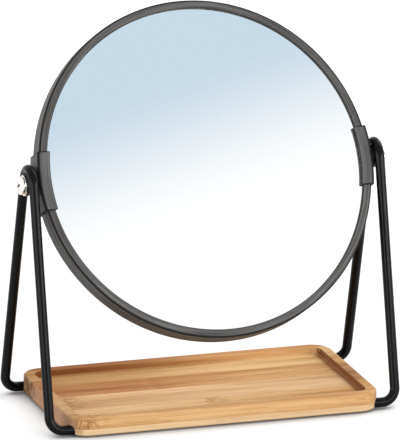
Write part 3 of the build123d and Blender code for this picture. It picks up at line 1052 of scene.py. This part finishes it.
# ---------------------------------------------------------------- pivots
# From the outside inwards: a nickel-plated pan head with a cross recess, a spring washer, a flat
# washer, and a black nylon bushing whose collar and flange hold the wire's bend.
pivot_screw_r = 0.0025
pivot_head_r = 0.0047
pivot_head_round = 0.0010
pivot_head = 0.0019
pivot_crown = 0.00025
round_steps = 9
crown_steps = 8
cross_width = 0.00125
cross_length = 0.0052
cross_depth = 0.0015
cross_over = 0.0003
cross_taper = radians(18)
recess_shade_depths = (0.00018, 0.0004)
washer_edge = 0.00015
washer_play = 0.00015
lock_washer_r = 0.0041
lock_washer_split = 0.0009
lock_washer_steps = 64
bush_collar = 0.0013
bush_flange = 0.001405
bush_lap = 0.0007
bush_play = 0.00005
bend_play = 0.00012
collar_lap = 0.0003

nickel, tree, shader = plain_metal("nickel", paint(238, 233, 224), paint(252, 250, 245), 0.14, 0.26, 900)
spring_steel = plain_metal("spring_steel", paint(52, 50, 47), paint(86, 82, 76), 0.28, 0.45, 1400)[0]

# The cross recess is painted dark below its mouth: painted shade in its depth.
head_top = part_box("right_pivot_screw")[1].x
x, y, z = add(tree, "SeparateXYZ", {0: own_place(tree)}).outputs
deep = add_math(tree, "SUBTRACT", head_top, z)
in_head = add_math(tree, "LESS_THAN", deep, cross_depth + 0.0002)
near_axis = add_math(tree, "LESS_THAN", add_length(tree, x, y), cross_length / 2 + 0.0001)
in_cross = add_math(tree, "MULTIPLY", in_head, near_axis)
painted_recess_shade = add_math(tree, "MULTIPLY", in_cross, add_range(tree, deep, *recess_shade_depths))
colour = shader.inputs["Base Color"].links[0].from_socket
connect(tree, shader, Base_Color=stain(tree, colour, painted_recess_shade, 0.85, paint(46, 42, 38)))

nylon, tree, shader = new_material("nylon", Specular_IOR_Level=0.4)
place = own_place(tree)
grain = add_noise(tree, place, 2600, 3)
connect(
    tree, shader,
    Base_Color=add_mix(tree, grain, paint(12, 12, 13), paint(26, 26, 27)),
    Roughness=add_handling(tree, place, 0.38, 0.55),
    Normal=add_relief(tree, grain, 0.25, 0.00004),
)


def cross(inset, height):
    """Outline of the cross recess, so far inside its edge at the mouth."""
    long, short = cross_length / 2 - inset, cross_width / 2 - inset
    quarter = ((long, -short), (long, short), (short, short))
    corners = []
    for turns in range(4):
        for x, y in quarter:
            for _ in range(turns):
                x, y = -y, x
            corners.append(Vector((x, y, height)))
    return corners


def reach(node):
    """Nearest and farthest distance of a node from the middle, along the tilt axis."""
    low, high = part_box(node)
    return sorted((abs(low.x), abs(high.x)))


flat_r = pivot_head_r - pivot_head_round
hole_r = pivot_screw_r + washer_play
split_angle = lock_washer_split / lock_washer_r / 2
bore_r = pivot_screw_r + bush_play
hub_r = top_bend_r - wire_r - bend_play
flange_r = top_bend_r - wire_r + bush_lap
collar_r = top_bend_r - wire_r + collar_lap
for side_name, side in left_and_right:
    outwards = Vector((side, 0, 0))
    up = mirror_turn.col[1]
    axis_turn = Matrix((up, outwards.cross(up), outwards)).transposed()
    axis_place = Matrix.Translation(pivot) @ axis_turn.to_4x4()

    inner, outer = reach(f"{side_name}_pivot_screw")
    head_x = outer - pivot_head
    rim_x = outer - pivot_head_round - pivot_crown
    rounding = [
        (rim_x + pivot_head_round * sin(a), flat_r + pivot_head_round * cos(a))
        for a in (radians(90 * n / round_steps) for n in range(round_steps))
    ]
    crown = [
        (outer - pivot_crown * (n / crown_steps) ** 2, flat_r * n / crown_steps)
        for n in range(crown_steps - 1, 0, -1)
    ]
    screw = turned(f"{side_name}_screw", [
        (inner, pivot_screw_r), (head_x, pivot_screw_r), (head_x, pivot_head_r), *rounding, *crown,
    ])
    recess = skin("recess", [
        cross(-cross_over * tan(cross_taper), outer + cross_over),
        cross(cross_depth * tan(cross_taper), outer - cross_depth),
    ])
    combine(screw, "DIFFERENCE", recess)
    screw.matrix_world = axis_place
    fit(screw, "mirror", nickel, f"{side_name}_pivot_screw")

    inner, outer = reach(f"{side_name}_lock_washer")
    section = ((hole_r, inner), (lock_washer_r, inner), (lock_washer_r, outer), (hole_r, outer))
    rings = []
    for n in range(lock_washer_steps + 1):
        a = split_angle + (2 * pi - 2 * split_angle) * n / lock_washer_steps
        rings.append([Vector((r * cos(a), r * sin(a), z)) for r, z in section])
    spring = skin(f"{side_name}_spring_washer", rings)
    spring.matrix_world = axis_place
    fit(spring, "mirror", spring_steel, f"{side_name}_lock_washer")

    inner, outer = reach(f"{side_name}_flat_washer")
    washer_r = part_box(f"{side_name}_flat_washer")[1].y
    washer = turned(f"{side_name}_washer", [
        (inner, hole_r), (inner, washer_r - washer_edge), (inner + washer_edge, washer_r),
        (outer - washer_edge, washer_r), (outer, washer_r - washer_edge), (outer, hole_r),
    ], closed=True)
    washer.matrix_world = axis_place
    fit(washer, "stand", nickel, f"{side_name}_flat_washer")

    inner, outer = reach(f"{side_name}_bushing")
    bush = turned(f"{side_name}_bush", [
        (inner, bore_r), (inner, flange_r - washer_edge), (inner + washer_edge, flange_r),
        (inner + bush_flange - washer_edge, flange_r), (inner + bush_flange, flange_r - washer_edge),
        (inner + bush_flange, hub_r), (outer - bush_collar, hub_r),
        (outer - bush_collar, collar_r - washer_edge), (outer - bush_collar + washer_edge, collar_r),
        (outer - washer_edge, collar_r), (outer, collar_r - washer_edge), (outer, bore_r),
    ], closed=True)
    bush.matrix_world = axis_place
    fit(bush, "stand", nylon, f"{side_name}_bushing")

# ---------------------------------------------------------------- tab screws
# Four short wood screws, plated with zinc like the joiner plates. Each is driven from below through
# a tab and holds the tray down on the wire.
finish_solid("tab_screws", zinc)

# ---------------------------------------------------------------- size
bpy.context.view_layer.update()
low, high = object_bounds()
